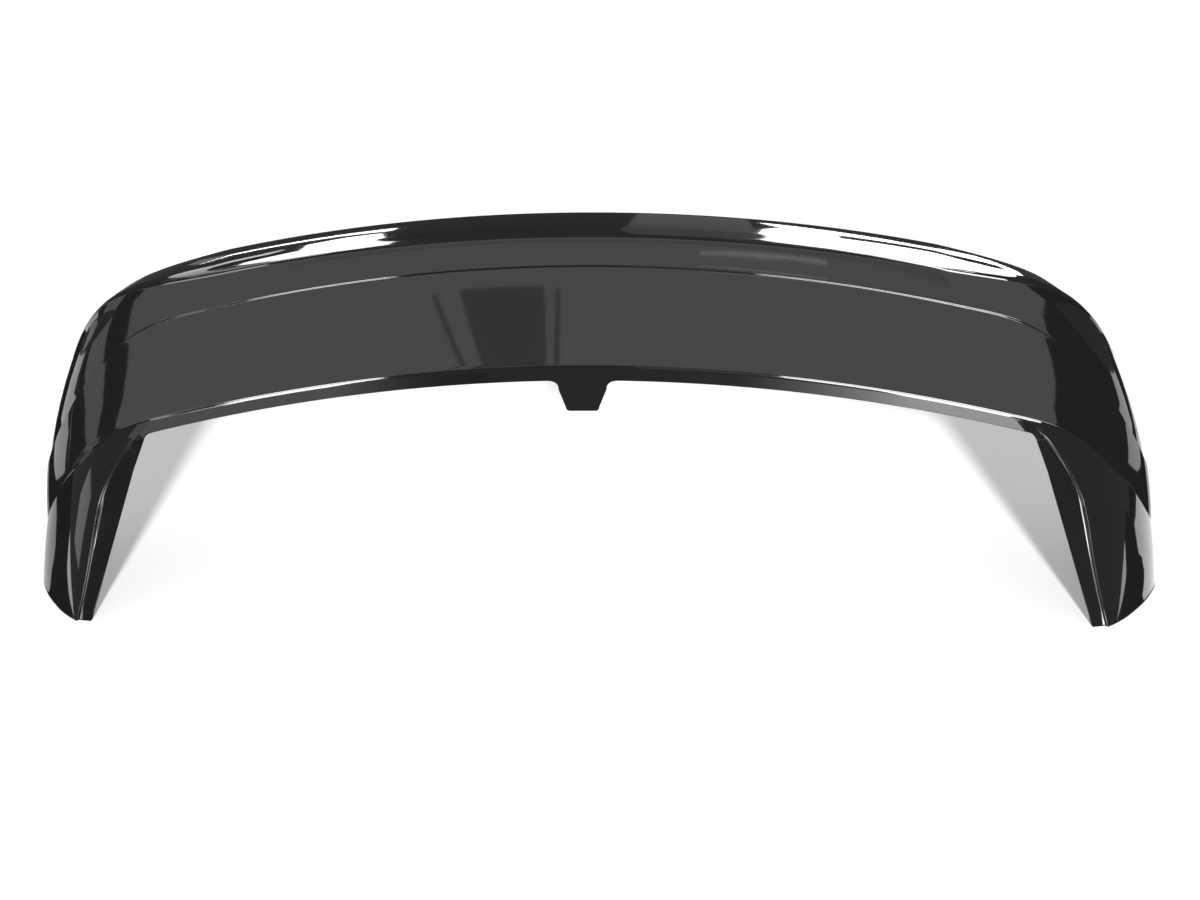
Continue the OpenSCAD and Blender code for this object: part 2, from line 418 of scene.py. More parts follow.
class ShellRules:
    """The rules that give a point on the outer face for a column and a height"""

    def __init__(self, s):
        self.s = s
        inner = Column(1, 1, s.leg_in, 0, 0)
        self.inner_top = self.strip_point(inner, self.strip_low(inner) - s.window_r)

    def side_x(self, z):
        return self.s.half_width - z * z / self.s.side_bow

    def col_x(self, c, z):
        return (self.side_x(z) - self.s.corner_x) * c.tau + self.s.corner_x * np.sin(c.phi)

    def line(self, c, z0, radius, drop, z):
        for _ in range(LINE_ROUNDS):
            x = self.col_x(c, z)
            z = z0 - (radius - np.sqrt(radius * radius - x * x)) - drop
        return z

    def low_line(self, c):
        s = self.s
        drop = s.kink_fall * np.sin(c.phi) ** KINK_FALL_POWER
        return self.line(c, s.kink_z, s.kink_r, drop, LOW_LINE_START)

    def high_line(self, c):
        s = self.s
        drop = s.crease_fall * np.sin(c.phi) ** CREASE_FALL_POWER
        return self.line(c, s.crease_z, s.crease_r, drop, HIGH_LINE_START)

    def top_line(self, c):
        s = self.s
        turned = s.top_fall * (c.phi / (math.pi / 2)) ** TOP_FALL_POWER
        along = s.side_fall * (1 - (1 - c.run / s.side_run) ** RETURN_FALL_POWER)
        return self.line(c, s.top_z, s.top_r, turned, TOP_LINE_START) - along

    def wrap_y(self, c):
        return self.s.corner_y * (1 - np.cos(c.phi)) + c.run

    def kink_in(self, c):
        s = self.s
        along = s.kink_y + (s.kink_y_end - s.kink_y) * c.tau * c.tau
        return np.where(c.phi > 0, s.kink_y_end * np.cos(c.phi), along)

    def out_dir(self, c):
        a = self.s.corner_y * np.sin(c.phi)
        b = -self.s.corner_x * np.cos(c.phi)
        size = np.hypot(a, b)
        return a / size, b / size

    def fade(self, c):
        return np.clip(1 - (c.phi / self.s.step_end) ** 2, 0, 1)

    def strip_low(self, c):
        return self.low_line(c) - np.maximum(LEAST_ROW, self.s.strip_h * self.fade(c))

    def strip_edge(self, c):
        low = self.low_line(c)
        return low - np.minimum(self.s.strip_ledge, (low - self.strip_low(c)) / 2)

    def strip_point(self, c, z):
        s = self.s
        slope = s.strip_tilt + (s.leg_step_tilt - s.strip_tilt) * np.minimum(1, c.phi / s.step_full)
        y = self.wrap_y(c) + self.kink_in(c) - s.strip_out * self.fade(c)
        y = y - (self.strip_edge(c) - z) * np.tan(slope)
        return np.stack([c.side * self.col_x(c, z), y, z + 0 * y], -1)

    def lip_share(self, c):
        return 1 - self.s.lip_loss * np.sin(c.phi) ** LIP_LOSS_POWER

    def lip_foot(self, c):
        s = self.s
        rise = s.lip_r * math.cos(s.ledge_slope) + s.ledge * math.sin(s.ledge_slope)
        return self.top_line(c) - self.lip_share(c) * rise

    def band_point(self, c, z, out):
        low = self.low_line(c)
        t = (z - low) / (self.lip_foot(c) - low)
        dx, dy = self.out_dir(c)
        x = c.side * (self.col_x(c, z) + dx * out)
        y = self.wrap_y(c) + self.kink_in(c) * (1 - t) + dy * out
        return np.stack([x, y, z + 0 * y], -1)

    def lip_point(self, c, inward, up):
        p = self.band_point(c, self.lip_foot(c), -self.s.crease_step / 2)
        dx, dy = self.out_dir(c)
        return p + np.stack([-c.side * dx * inward, -dy * inward, up + 0 * dx], -1)

    def inner_x(self, z):
        s = self.s
        lower = s.leg_in_x + (s.leg_kink_x - s.leg_in_x) * z / s.leg_kink_z
        share = (z - s.leg_kink_z) / (self.inner_top[2] - s.leg_kink_z)
        upper = s.leg_kink_x + (self.inner_top[0] - s.leg_kink_x) * share
        soft = smooth((z - s.leg_kink_z) / KINK_BLEND + 0.5)
        return lower + (upper - lower) * soft

    def crease_angle(self, v):
        """Corner angle of the leg's crease at a share v of the leg's height"""
        s = self.s
        to_floor = np.clip(1 - v / LEG_BEND_LOW, 0, 1) ** LEG_BEND_LOW_POWER
        to_strip = np.clip((v - LEG_BEND_HIGH) / (1 - LEG_BEND_HIGH), 0, 1) ** LEG_BEND_HIGH_POWER
        low = (s.leg_crease_low - s.leg_crease_mid) * to_floor
        high = (s.leg_crease - s.leg_crease_mid) * to_strip
        return s.leg_crease_mid + low + high

    def body_point(self, side, phi, v):
        """A point of the leg's rounded body, which leans back under the strip"""
        c = Column(side, 1 + 0 * phi, phi, 0, 0)
        top = self.strip_point(c, self.strip_low(c))
        z = top[..., 2] * v
        y = top[..., 1] - self.s.leg_lean * (top[..., 2] - z)
        return np.stack([c.side * self.col_x(c, z), y, z], -1)

    def leg_point(self, c, v):
        s = self.s
        crease = self.crease_angle(v)
        w = np.clip((c.phi - s.leg_in) / (s.leg_crease - s.leg_in), 0, 1)
        share = np.clip((math.pi / 2 - c.phi) / (math.pi / 2 - s.leg_crease), 0, 1)
        body = self.body_point(c.side, c.phi + (crease - s.leg_crease) * share, v)
        body[..., 1] += c.run
        outer = self.body_point(1, np.full_like(w, crease), v)
        z_in = self.inner_top[2] * v
        y_in = s.leg_tip_y + (self.inner_top[1] - s.leg_tip_y) * v
        inner = np.stack([self.inner_x(z_in) + 0 * w, y_in + 0 * w, z_in + 0 * w], -1)
        flange = inner + (outer - inner) * w[..., None]
        set_back = s.leg_recess * smooth((1 - w) / (1 - s.recess_start))
        flange[..., 1] += set_back * smooth((1 - v) / TOP_BLEND)
        flange[..., 0] *= c.side
        return np.where((w < 1)[..., None], flange, body)


def smooth(t):
    """Eases from 0 to 1"""
    t = np.clip(t, 0, 1)
    return t * t * (3 - 2 * t)


def spread(count, power=1.0):
    """Shares from 0 to 1, closer together at both ends where power is over 1"""
    t = np.linspace(0, 1, count)
    return 0.5 + 0.5 * np.sign(t - 0.5) * np.abs(2 * t - 1) ** (1 / power)


def rounded(start, corner, end, count):
    """Rows of a rounded corner between two points, both left out"""
    rows = []
    for k in range(1, count + 1):
        t = k / (count + 1)
        rows.append(start * (1 - t) ** 2 + corner * 2 * t * (1 - t) + end * t * t)
    return rows


def tab_outline(s):
    """Half widths along the tab's outline, each with its share of the tab's height"""
    turn = s.tab_corner
    outline = [(x, 1.0) for x in np.linspace(0, s.tab_low - turn, TAB_FLAT_COLUMNS)]
    for a in TAB_CORNER_ANGLES:
        x = s.tab_low - turn * (1 - math.sin(a))
        outline.append((x, 1 - turn / s.tab_h * (1 - math.cos(a))))
    top_share = s.tab_fillet_z / s.tab_h
    for t in np.linspace(0.0, TAB_SIDE_END, TAB_SIDE_COLUMNS):
        share = (1 - turn / s.tab_h) * (1 - t) + top_share * t
        outline.append((s.tab_low + (s.tab_high - s.tab_low) * t, share))
    for t in np.linspace(0, 1, TAB_FILLET_COLUMNS):
        outline.append((s.tab_high + s.tab_fillet_x * t * t, top_share * (1 - t) ** 2))
    return outline


def window_corner(s):
    """Columns round the window corner and over the leg's flange, as tau, phi, run and tab share"""
    drop = s.window_r / s.tab_h
    fillet = s.window_r / s.corner_x
    before = np.linspace(0, math.asin(math.sin(s.leg_in) - fillet), BEFORE_WINDOW_COLUMNS)
    rows = [(1.0, a, 0.0, 0.0) for a in before[1:]]
    for t in np.linspace(0, 1, WINDOW_ROUND_COLUMNS)[1:-1]:
        angle = math.asin(math.sin(s.leg_in) - (1 - t) * fillet)
        rows.append((1.0, angle, 0.0, drop * (1 - math.sqrt(1 - t * t))))
    step_shares = s.recess_start + (1 - s.recess_start) * np.linspace(0, 1, FLANGE_STEP_COLUMNS)
    for w in FLANGE_SHARES + list(step_shares):
        rows.append((1.0, s.leg_in + (s.leg_crease - s.leg_in) * w, 0.0, drop * (1 - w) ** 2))
    return rows


def shell_columns(s):
    """Columns from the middle outward, then mirrored, and how many of them a leg has"""
    ref = s.half_width - (s.kink_z - s.strip_h) ** 2 / s.side_bow - s.corner_x
    outline = tab_outline(s)
    rows = [(x / ref, 0.0, 0.0, share) for x, share in outline]
    start = outline[-1][0] / ref
    rows += [(start + (1 - start) * k / BAND_COLUMNS, 0.0, 0.0, 0.0) for k in range(1, BAND_COLUMNS + 1)]
    rows += window_corner(s)
    angles = [s.leg_crease + CREASE_FIRST]
    angles += list(np.linspace(s.leg_crease + CREASE_NEXT, math.pi / 2, CORNER_COLUMNS))
    rows += [(1.0, a, 0.0, 0.0) for a in angles]
    for k in range(1, RETURN_COLUMNS + 1):
        rows.append((1.0, math.pi / 2, s.side_run * k / RETURN_COLUMNS, 0.0))
    half = np.array(rows)
    left = half[:0:-1]
    table = np.concatenate([left, half])
    side = np.concatenate([-np.ones(len(left)), np.ones(len(half))])
    first_leg = next(k for k, row in enumerate(rows) if row[1] >= s.leg_in - SAME_ANGLE)
    return Column(side, *table.T), len(rows) - first_leg


def strip_rows(rules, c):
    """Rows of the strip, from the window edge to the middle of the ledge over it"""
    s = rules.s
    low = rules.low_line(c)
    strip_low = rules.strip_low(c)
    edge_z = rules.strip_edge(c)
    edge_z = edge_z + (low - edge_z) * LEDGE_LIFT
    bottom = strip_low - c.tab * s.tab_h
    strip_end = edge_z - np.minimum(ROUND_STRIP, (edge_z - strip_low) * ROUND_SHARE)
    shares = np.linspace(0, 1, STRIP_ROWS)
    rows = [rules.strip_point(c, bottom + (strip_end - bottom) * t) for t in shares]
    edge = rules.strip_point(c, edge_z)
    middle = (edge + rules.band_point(c, low, 0)) / 2
    rows += rounded(rows[-1], edge, middle, KINK_TURN_ROWS)
    rows.append(middle)
    return rows


def band_rows(rules, c, last):
    """Rows of the broad band, from the row before it to just under the upper crease"""
    s = rules.s
    low = rules.low_line(c)
    high = rules.high_line(c)

    def swollen(z):
        return rules.band_point(c, z, s.crease_step / 2 * (z - low) / (high - low))

    first_z = low + ROUND_KINK
    last_z = high - ROUND_CREASE
    rows = rounded(last, rules.band_point(c, low, 0), swollen(first_z), KINK_TURN_ROWS)
    rows += [swollen(first_z + (last_z - first_z) * t) for t in spread(BAND_ROWS, BAND_CROWDING)]
    return rows


def set_back_rows(rules, c, last):
    """Rows of the set-back at the upper crease and of the narrow band over it"""
    s = rules.s
    high = rules.high_line(c)
    foot = rules.lip_foot(c)
    crease = rules.band_point(c, high, s.crease_step / 2)
    back = rules.band_point(c, high + s.step_ramp, -s.crease_step / 2)
    flat_start = crease + (back - crease) * STEP_FLAT
    flat_end = back + (crease - back) * STEP_FLAT
    rows = rounded(last, crease, flat_start, CREASE_TURN_ROWS)
    rows += [flat_start, (flat_start + flat_end) / 2, flat_end]
    after = high + s.step_ramp + np.minimum(ROUND_CREASE, (foot - high - s.step_ramp) * ROUND_SHARE)
    rows += rounded(flat_end, back, rules.band_point(c, after, -s.crease_step / 2), CREASE_TURN_ROWS)
    for t in np.linspace(0, 1, UPPER_BAND_ROWS)[:-1]:
        rows.append(rules.band_point(c, after + (foot - after) * t, -s.crease_step / 2))
    return rows


def lip_rows(rules, c):
    """Rows of the rolled lip, the ledge behind it, its turned edge and the hidden flange"""
    s = rules.s
    m = rules.lip_share(c)
    turn = math.pi / 2 - s.ledge_slope - s.ledge_crown
    rows = []
    for a in np.linspace(0, turn, LIP_ROWS):
        rows.append(rules.lip_point(c, m * s.lip_r * (1 - math.cos(a)), m * s.lip_r * math.sin(a)))
    roll_end = s.lip_r * np.array([1 - math.cos(turn), math.sin(turn)])
    ledge_start = s.lip_r * np.array([1 - math.sin(s.ledge_slope), math.cos(s.ledge_slope)])
    ledge_end = ledge_start + s.ledge * np.array([math.cos(s.ledge_slope), math.sin(s.ledge_slope)])
    steep = s.ledge_slope + s.ledge_crown
    half = np.linalg.norm(ledge_end - roll_end) / 2 / math.cos(s.ledge_crown)
    bend = roll_end + half * np.array([math.cos(steep), math.sin(steep)])
    for t in np.linspace(0, 1, LEDGE_ROWS)[1:]:
        spot = roll_end * (1 - t) ** 2 + bend * 2 * t * (1 - t) + ledge_end * t * t
        rows.append(rules.lip_point(c, m * spot[0], m * spot[1]))
    edge_in = m * ledge_end[0] + s.edge_r * math.sin(s.ledge_slope)
    edge_up = m * ledge_end[1] - s.edge_r * math.cos(s.ledge_slope)
    full = math.pi / 2 + s.ledge_slope
    for k in range(1, EDGE_ROWS + 1):
        a = full * (1 - k / EDGE_ROWS)
        inward = edge_in + s.edge_r * math.cos(a)
        rows.append(rules.lip_point(c, inward, edge_up + s.edge_r * math.sin(a)))
    for t in FLANGE_DOWN_SHARES:
        rows.append(rules.lip_point(c, edge_in + s.edge_r, edge_up - s.flange_h * t))
    return rows


def upper_rows(rules, c):
    """Rows of the band, from the window edge over the lip to the hidden flange"""
    rows = strip_rows(rules, c)
    rows += band_rows(rules, c, rows[-1])
    rows += set_back_rows(rules, c, rows[-1])
    rows += lip_rows(rules, c)
    return rows


def leg_rows(rules, c):
    """Rows of the legs, from the floor to just below the strip"""
    shares = list(np.linspace(0, LEG_ROWS_END, LEG_ROWS)) + LEG_LAST_SHARES
    return [rules.leg_point(c, v) for v in shares]


def rim_directions(points, inward, window_edge):
    """Where the rim bulges to at each vertex: toward the window, and level at the floor"""
    edge_points = points[window_edge]
    along = np.gradient(edge_points, axis=0)
    direction = np.cross(along, inward[window_edge])
    direction /= np.linalg.norm(direction, axis=1, keepdims=True)
    toward = np.sum(direction * (np.array(WINDOW_CENTRE) - edge_points), 1)
    direction *= np.sign(toward.mean())
    direction[:, 2] = np.where(edge_points[:, 2] < FLOOR_NEAR, 0, direction[:, 2])
    rim = np.zeros_like(points)
    rim[window_edge] = direction
    return rim


def outer_sheet(s):
    """Vertices and quads of the outer face, with each vertex's inward and rim directions"""
    rules = ShellRules(s)
    columns, leg_count = shell_columns(s)
    count = len(columns.side)
    upper = np.array(upper_rows(rules, columns))
    left = np.arange(leg_count)
    right = np.arange(count - leg_count, count)
    legs = [np.array(leg_rows(rules, columns.pick(index))) for index in (left, right)]
    n_up, n_lo = len(upper), len(legs[0])
    points = np.concatenate([upper.reshape(-1, 3)] + [leg.reshape(-1, 3) for leg in legs])
    upper_id = np.arange(n_up * count).reshape(n_up, count)
    leg_ids = []
    for side, index in enumerate((left, right)):
        block = upper_id.size + side * n_lo * leg_count
        ids = block + np.arange(n_lo * leg_count).reshape(n_lo, leg_count)
        leg_ids.append(np.concatenate([ids, upper_id[0:1, index]]))
    quads = np.concatenate([grid_quads(ids) for ids in [upper_id] + leg_ids])
    inward = -vertex_normals(points, quads)
    for ids in leg_ids:
        flat = inward[ids[0]].copy()
        flat[:, 2] = 0
        inward[ids[0]] = flat / np.sum(flat * flat, 1, keepdims=True)
    between_legs = upper_id[0, leg_count:count - leg_count]
    window_edge = np.concatenate([leg_ids[0][:, -1], between_legs, leg_ids[1][::-1, 0]])
    return points, quads, inward, rim_directions(points, inward, window_edge)


def grid_quads(ids):
    return np.stack([ids[:-1, :-1], ids[:-1, 1:], ids[1:, 1:], ids[1:, :-1]], -1).reshape(-1, 4)


def vertex_normals(points, quads):
    """Unit normals from the diagonals of the quads around each vertex"""
    first = points[quads[:, 2]] - points[quads[:, 0]]
    second = points[quads[:, 3]] - points[quads[:, 1]]
    cross = np.cross(first, second)
    normals = np.zeros_like(points)
    for corner in range(4):
        np.add.at(normals, quads[:, corner], cross)
    return normals / np.linalg.norm(normals, axis=1, keepdims=True)


def sheet_mesh(s):
    """The outer face as a mesh: its lowest Y meets the frame, and no point is past the frame's box"""
    points, quads, inward, rim = outer_sheet(s)
    points[:, 1] += CAD_LOW.y - points[:, 1].min()
    points = np.minimum(points, [CAD_HIGH.x, CAD_HIGH.y, CAD_HIGH.z])
    mesh = bpy.data.meshes.new("outer_sheet")
    mesh.from_pydata(points.tolist(), [], quads.tolist())
    for name, values in (("inward", inward), ("rim", rim)):
        layer = mesh.attributes.new(name, "FLOAT_VECTOR", "POINT")
        layer.data.foreach_set("vector", values.astype(np.float32).ravel())
    mesh.update()
    return mesh


# Geometry Nodes: the wall behind the outer face, with a rounded rim

def wall_tree():
    """Sinks the sheet inward in steps, each a share of the wall with its share of the rim's bulge"""
    tree = bpy.data.node_groups.new("moulded_wall", "GeometryNodeTree")
    face = tree.interface
    face.new_socket("Geometry", in_out="INPUT", socket_type="NodeSocketGeometry")
    wall_in = face.new_socket("Wall", in_out="INPUT", socket_type="NodeSocketFloat")
    rim_in = face.new_socket("Rim", in_out="INPUT", socket_type="NodeSocketFloat")
    finish_in = face.new_socket("Finish", in_out="INPUT", socket_type="NodeSocketMaterial")
    face.new_socket("Geometry", in_out="OUTPUT", socket_type="NodeSocketGeometry")
    given = tree.nodes.new("NodeGroupInput").outputs
    sheet, wall, rim, finish = (Socket(tree, given[k]) for k in range(4))
    vector = {"data_type": "FLOAT_VECTOR"}
    inward = add_node(tree, "GeometryNodeInputNamedAttribute", vector, Name="inward")["Attribute"]
    bulge = add_node(tree, "GeometryNodeInputNamedAttribute", vector, Name="rim")["Attribute"]
    sunk = add_node(tree, "GeometryNodeFlipFaces", Mesh=sheet)["Mesh"]
    top = None
    depth, swell = 0.0, 0.0
    for next_depth, next_swell in WALL_STEPS:
        step = {"Mesh": sunk, "Offset_Scale": 0.0, "Individual": False}
        if top is not None:
            step["Selection"] = top
        grown = add_node(tree, "GeometryNodeExtrudeMesh", {"mode": "FACES"}, **step)
        top = grown["Top"]
        sink = scaled(tree, inward, wall * (next_depth - depth))
        swell_by = scaled(tree, bulge, rim * (next_swell - swell))
        offset = vector_sum(tree, sink, swell_by)
        place = {"Geometry": grown["Mesh"], "Selection": top, "Offset": offset}
        sunk = add_node(tree, "GeometryNodeSetPosition", None, **place)["Geometry"]
        depth, swell = next_depth, next_swell
    joined = tree.nodes.new("GeometryNodeJoinGeometry")
    tree.links.new(sheet.output, joined.inputs[0])
    tree.links.new(sunk.output, joined.inputs[0])
    both = {"Geometry": Socket(tree, joined.outputs[0]), "Distance": WELD}
    welded = add_node(tree, "GeometryNodeMergeByDistance", None, **both)["Geometry"]
    shaded = add_node(tree, "GeometryNodeSetShadeSmooth", None, Geometry=welded)["Geometry"]
    real = add_node(tree, "GeometryNodeRealizeInstances", None, Geometry=shaded)["Geometry"]
    painted = add_node(tree, "GeometryNodeSetMaterial", None, Geometry=real, Material=finish)["Geometry"]
    result = tree.nodes.new("NodeGroupOutput")
    tree.links.new(painted.output, result.inputs[0])
    return tree, wall_in.identifier, rim_in.identifier, finish_in.identifier


def scaled(tree, vector, factor):
    node = tree.nodes.new("ShaderNodeVectorMath")
    node.operation = "SCALE"
    set_input(tree, node.inputs[0], vector)
    set_input(tree, node.inputs["Scale"], factor)
    return Socket(tree, node.outputs[0])


def vector_sum(tree, first, second):
    node = tree.nodes.new("ShaderNodeVectorMath")
    node.operation = "ADD"
    set_input(tree, node.inputs[0], first)
    set_input(tree, node.inputs[1], second)
    return Socket(tree, node.outputs[0])


# Finishes

def gloss_black(finish):
    """Deep black lacquered plastic with very faint waves"""
    material = bpy.data.materials.new("gloss_black")
    material.use_nodes = True
    tree = material.node_tree
    shader = tree.nodes["Principled BSDF"]
    place = add_node(tree, "ShaderNodeTexCoord")["Object"]
    broad = add_node(tree, "ShaderNodeTexNoise", None, Vector=place, **BROAD_WAVES)[NOISE_OUT]
    fine = add_node(tree, "ShaderNodeTexNoise", None, Vector=place, **FINE_WAVES)[NOISE_OUT]
    waves = {"Strength": 1.0, "Distance": finish.ripple, "Height": broad * BROAD_HEIGHT + fine * FINE_HEIGHT}
    bump = add_node(tree, "ShaderNodeBump", None, **waves)["Normal"]
    set_input(tree, shader.inputs["Normal"], bump)
    shader.inputs["Base Color"].default_value = (*finish.colour, 1.0)
    cloud = add_node(tree, "ShaderNodeTexNoise", None, Vector=place, **HAZE_CLOUD)[NOISE_OUT]
    least = finish.roughness - HAZE_RANGE / 2
    set_input(tree, shader.inputs["Roughness"], cloud * HAZE_RANGE + least)
    shader.inputs["IOR"].default_value = LACQUER_IOR
    return material


class SPOILER_OT_shell(bpy.types.Operator):
    """Build the one-piece spoiler shell over its CAD node"""

    bl_idname = "spoiler.shell"
    bl_label = "Build shell"

    def execute(self, context):
        s = context.scene.spoiler_shape
        sheet = bpy.data.objects.new("sheet", sheet_mesh(s))
        context.collection.objects.link(sheet)
        tree, wall_id, rim_id, finish_id = wall_tree()
        finish = gloss_black(context.scene.spoiler_finish)
        modifier = sheet.modifiers.new("wall", "NODES")
        modifier.node_group = tree
        modifier[wall_id] = s.wall
        modifier[rim_id] = s.rim
        modifier[finish_id] = finish
        context.view_layer.update()
        evaluated = sheet.evaluated_get(context.evaluated_depsgraph_get())
        mesh = bpy.data.meshes.new_from_object(evaluated)
        mesh.name = "spoiler_shell"
        bpy.data.objects.remove(sheet)
        for name in ("inward", "rim"):
            layer = mesh.attributes.get(name)
            if layer:
                mesh.attributes.remove(layer)
        mesh.set_sharp_from_angle(angle=SHARP_ANGLE)
        shell = bpy.data.objects.new("shell", mesh)
        context.collection.objects.link(shell)
        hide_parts("spoiler_shell")
        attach(shell, "root")
        return {"FINISHED"}


# Studio

def look_matrix(studio):
    """Camera axes: right, up and back, pitched down and then turned about its own up axis"""
    pitch, yaw = studio.camera_pitch, studio.camera_yaw
    ahead = Vector((0, math.cos(pitch), -math.sin(pitch)))
    up = Vector((0, math.sin(pitch), math.cos(pitch)))
    side = Vector((1, 0, 0))
    look = ahead * math.cos(yaw) - side * math.sin(yaw)
    right = side * math.cos(yaw) + ahead * math.sin(yaw)
    return Matrix((right, up, -look)).transposed()


def add_camera(context, studio, shift_y):
    data = bpy.data.cameras.new("camera")
    data.lens = studio.lens_mm
    data.sensor_width = SENSOR_MM
    data.clip_end = VIEW_END
    camera = bpy.data.objects.new("camera", data)
    context.collection.objects.link(camera)
    place = Vector((studio.camera_side, -studio.camera_back + shift_y, studio.camera_height))
    camera.matrix_world = Matrix.Translation(place) @ look_matrix(studio).to_4x4()
    context.scene.camera = camera


def emission_material(name, strength):
    material = bpy.data.materials.new(name)
    material.use_nodes = True
    tree = material.node_tree
    tree.nodes.clear()
    glow = add_node(tree, "ShaderNodeEmission", None, Color=WHITE, Strength=strength)["Emission"]
    out = tree.nodes.new("ShaderNodeOutputMaterial")
    tree.links.new(glow.output, out.inputs["Surface"])
    return material


def card(context, name, corners, material):
    """A flat card that only reflections see"""
    mesh = bpy.data.meshes.new(name)
    mesh.from_pydata(corners, [], [tuple(range(len(corners)))])
    mesh.materials.append(material)
    obj = bpy.data.objects.new(name, mesh)
    context.collection.objects.link(obj)
    obj.visible_camera = False
    obj.visible_diffuse = False
    obj.visible_shadow = False


def level(outline, z):
    """Corners of a level card, from its X and Y"""
    return [(x, y, z) for x, y in outline]


def upright(outline, y):
    """Corners of a card that stands before the part, from its X and Z"""
    return [(x, y, z) for x, z in outline]


def graded_material(name, strength, dark_x, bright_x):
    """A glow that fades along X from nearly dark to its full strength"""
    material = emission_material(name, strength)
    tree = material.node_tree
    place = add_node(tree, "ShaderNodeTexCoord")["Object"]
    along = add_node(tree, "ShaderNodeSeparateXYZ", None, Vector=place)["X"]
    share = ((along - dark_x) / (bright_x - dark_x)).maximum(GRADE_LEAST).minimum(1.0)
    set_input(tree, tree.nodes["Emission"].inputs["Color"], share * share)
    return material


def add_sun(context, studio):
    data = bpy.data.lights.new("main_light", "SUN")
    data.energy = studio.sun_strength
    data.angle = SUN_ANGLE
    sun = bpy.data.objects.new("main_light", data)
    context.collection.objects.link(sun)
    sun.matrix_world = Vector(SUN_FROM).to_track_quat("Z", "Y").to_matrix().to_4x4()
    sun.visible_camera = False
    sun.visible_glossy = False


def floor_material(studio):
    """Pale floor that takes shadows; a faint glow is added to what camera and reflections see"""
    material = bpy.data.materials.new("floor")
    material.use_nodes = True
    tree = material.node_tree
    tree.nodes.clear()
    lit = add_node(tree, "ShaderNodeBsdfDiffuse", None, Color=(*studio.floor_colour, 1.0))["BSDF"]
    path = add_node(tree, "ShaderNodeLightPath")
    seen = path["Is Camera Ray"].maximum(path["Is Glossy Ray"]).maximum(path["Is Transmission Ray"])
    strength = seen * FLOOR_GLOW
    glow = add_node(tree, "ShaderNodeEmission", None, Color=WHITE, Strength=strength)["Emission"]
    both = tree.nodes.new("ShaderNodeAddShader")
    tree.links.new(lit.output, both.inputs[0])
    tree.links.new(glow.output, both.inputs[1])
    out = tree.nodes.new("ShaderNodeOutputMaterial")
    tree.links.new(both.outputs[0], out.inputs["Surface"])
    return material


def add_floor(context, studio):
    mesh = bpy.data.meshes.new("floor")
    far = FLOOR_HALF
    corners = [(-far, -far, 0), (far, -far, 0), (far, far, 0), (-far, far, 0)]
    mesh.from_pydata(corners, [], [(0, 1, 2, 3)])
    mesh.materials.append(floor_material(studio))
    floor = bpy.data.objects.new("floor", mesh)
    context.collection.objects.link(floor)


def studio_world(context):
    """White to the camera, a dim room to reflections, soft fill to everything else"""
    world = bpy.data.worlds.new("studio")
    context.scene.world = world
    world.use_nodes = True
    tree = world.node_tree
    tree.nodes.clear()
    path = add_node(tree, "ShaderNodeLightPath")
    camera = path["Is Camera Ray"]
    glossy = path["Is Glossy Ray"]
    strength = camera * 1.0 + (1 - camera) * (glossy * ROOM_LEVEL + (1 - glossy) * FILL_LEVEL)
    back = add_node(tree, "ShaderNodeBackground", None, Color=WHITE, Strength=strength)["Background"]
    out = tree.nodes.new("ShaderNodeOutputWorld")
    tree.links.new(back.output, out.inputs["Surface"])


# Outlines of the cards that the gloss mirrors: under the ceiling by X and Y

RIGHT_LAMPS = [(0.8, -3.2), (0.6, -2.5), (0.5, -1.6), (0.5, 1.6), (0.53, 2), (0.62, 2.3), (0.53, 2.6)]
RIGHT_LAMPS += [(1, 2.6), (1.25, 2.64), (1.4, 2.72), (1.52, 2.95), (1.67, 3.25), (1.85, 3.6), (2.15, 4)]
RIGHT_LAMPS += [(2.6, 4.35), (2.55, 3.7), (2.3, 2.9), (2.1, 1.9), (2.05, 1), (2.2, 0), (2.35, -1)]
RIGHT_LAMPS += [(2.15, -2), (2, -3.2)]
LAMP_GAP = [(0.85, 2), (1.3, 2.2), (1.5, 2.28), (1.8, 2.6), (2.15, 3.2), (2.05, 3.4), (1.68, 2.85)]
LAMP_GAP += [(1.45, 2.52), (1.3, 2.45), (0.85, 2.26)]
LEFT_LAMPS = [(-1.4, 2.1), (-1.25, 1.0), (-1.2, 0.5), (-1.3, 0.0), (-1.45, -0.5), (-1.6, -1.5)]
LEFT_LAMPS += [(-1.75, -3.2), (-1.2, -3.2), (-1.0, -2.0), (-0.87, -1.2), (-0.87, 0.0), (-0.95, 1.5)]
LEFT_LAMPS += [(-1.05, 2.1), (-1.2, 2.16)]
LEFT_STREAK = [(-1.03, 2.25), (-1.03, 2.45), (-1.3, 2.55), (-1.6, 2.65), (-1.9, 2.78), (-2.3, 3)]
LEFT_STREAK += [(-2.25, 2.93), (-1.9, 2.7), (-1.6, 2.55), (-1.3, 2.42)]
LEFT_HAZE = [(-2.15, 2), (-1.5, 2.1), (-1.62, 0.6), (-1.75, -0.5), (-1.85, -1.5), (-1.95, -3.2)]
LEFT_HAZE += [(-2.6, -3.2), (-2.4, -1)]
LEFT_BACK_HAZE = [(-1.9, 2.75), (-2.2, 3.2), (-2.6, 3.9), (-2.7, 3.8), (-2.3, 3.0), (-1.95, 2.55)]
LEFT_FRONT_HAZE = [(-3.2, -1.2), (-1.6, -0.8), (-1.6, -3.2), (-3.2, -3.2)]
MIDDLE_DIM = [(0.0, -3.2), (0.49, -3.2), (0.49, 3.0), (0.0, 3.0)]


# Upright cards by X and Z, the last one by Y and Z

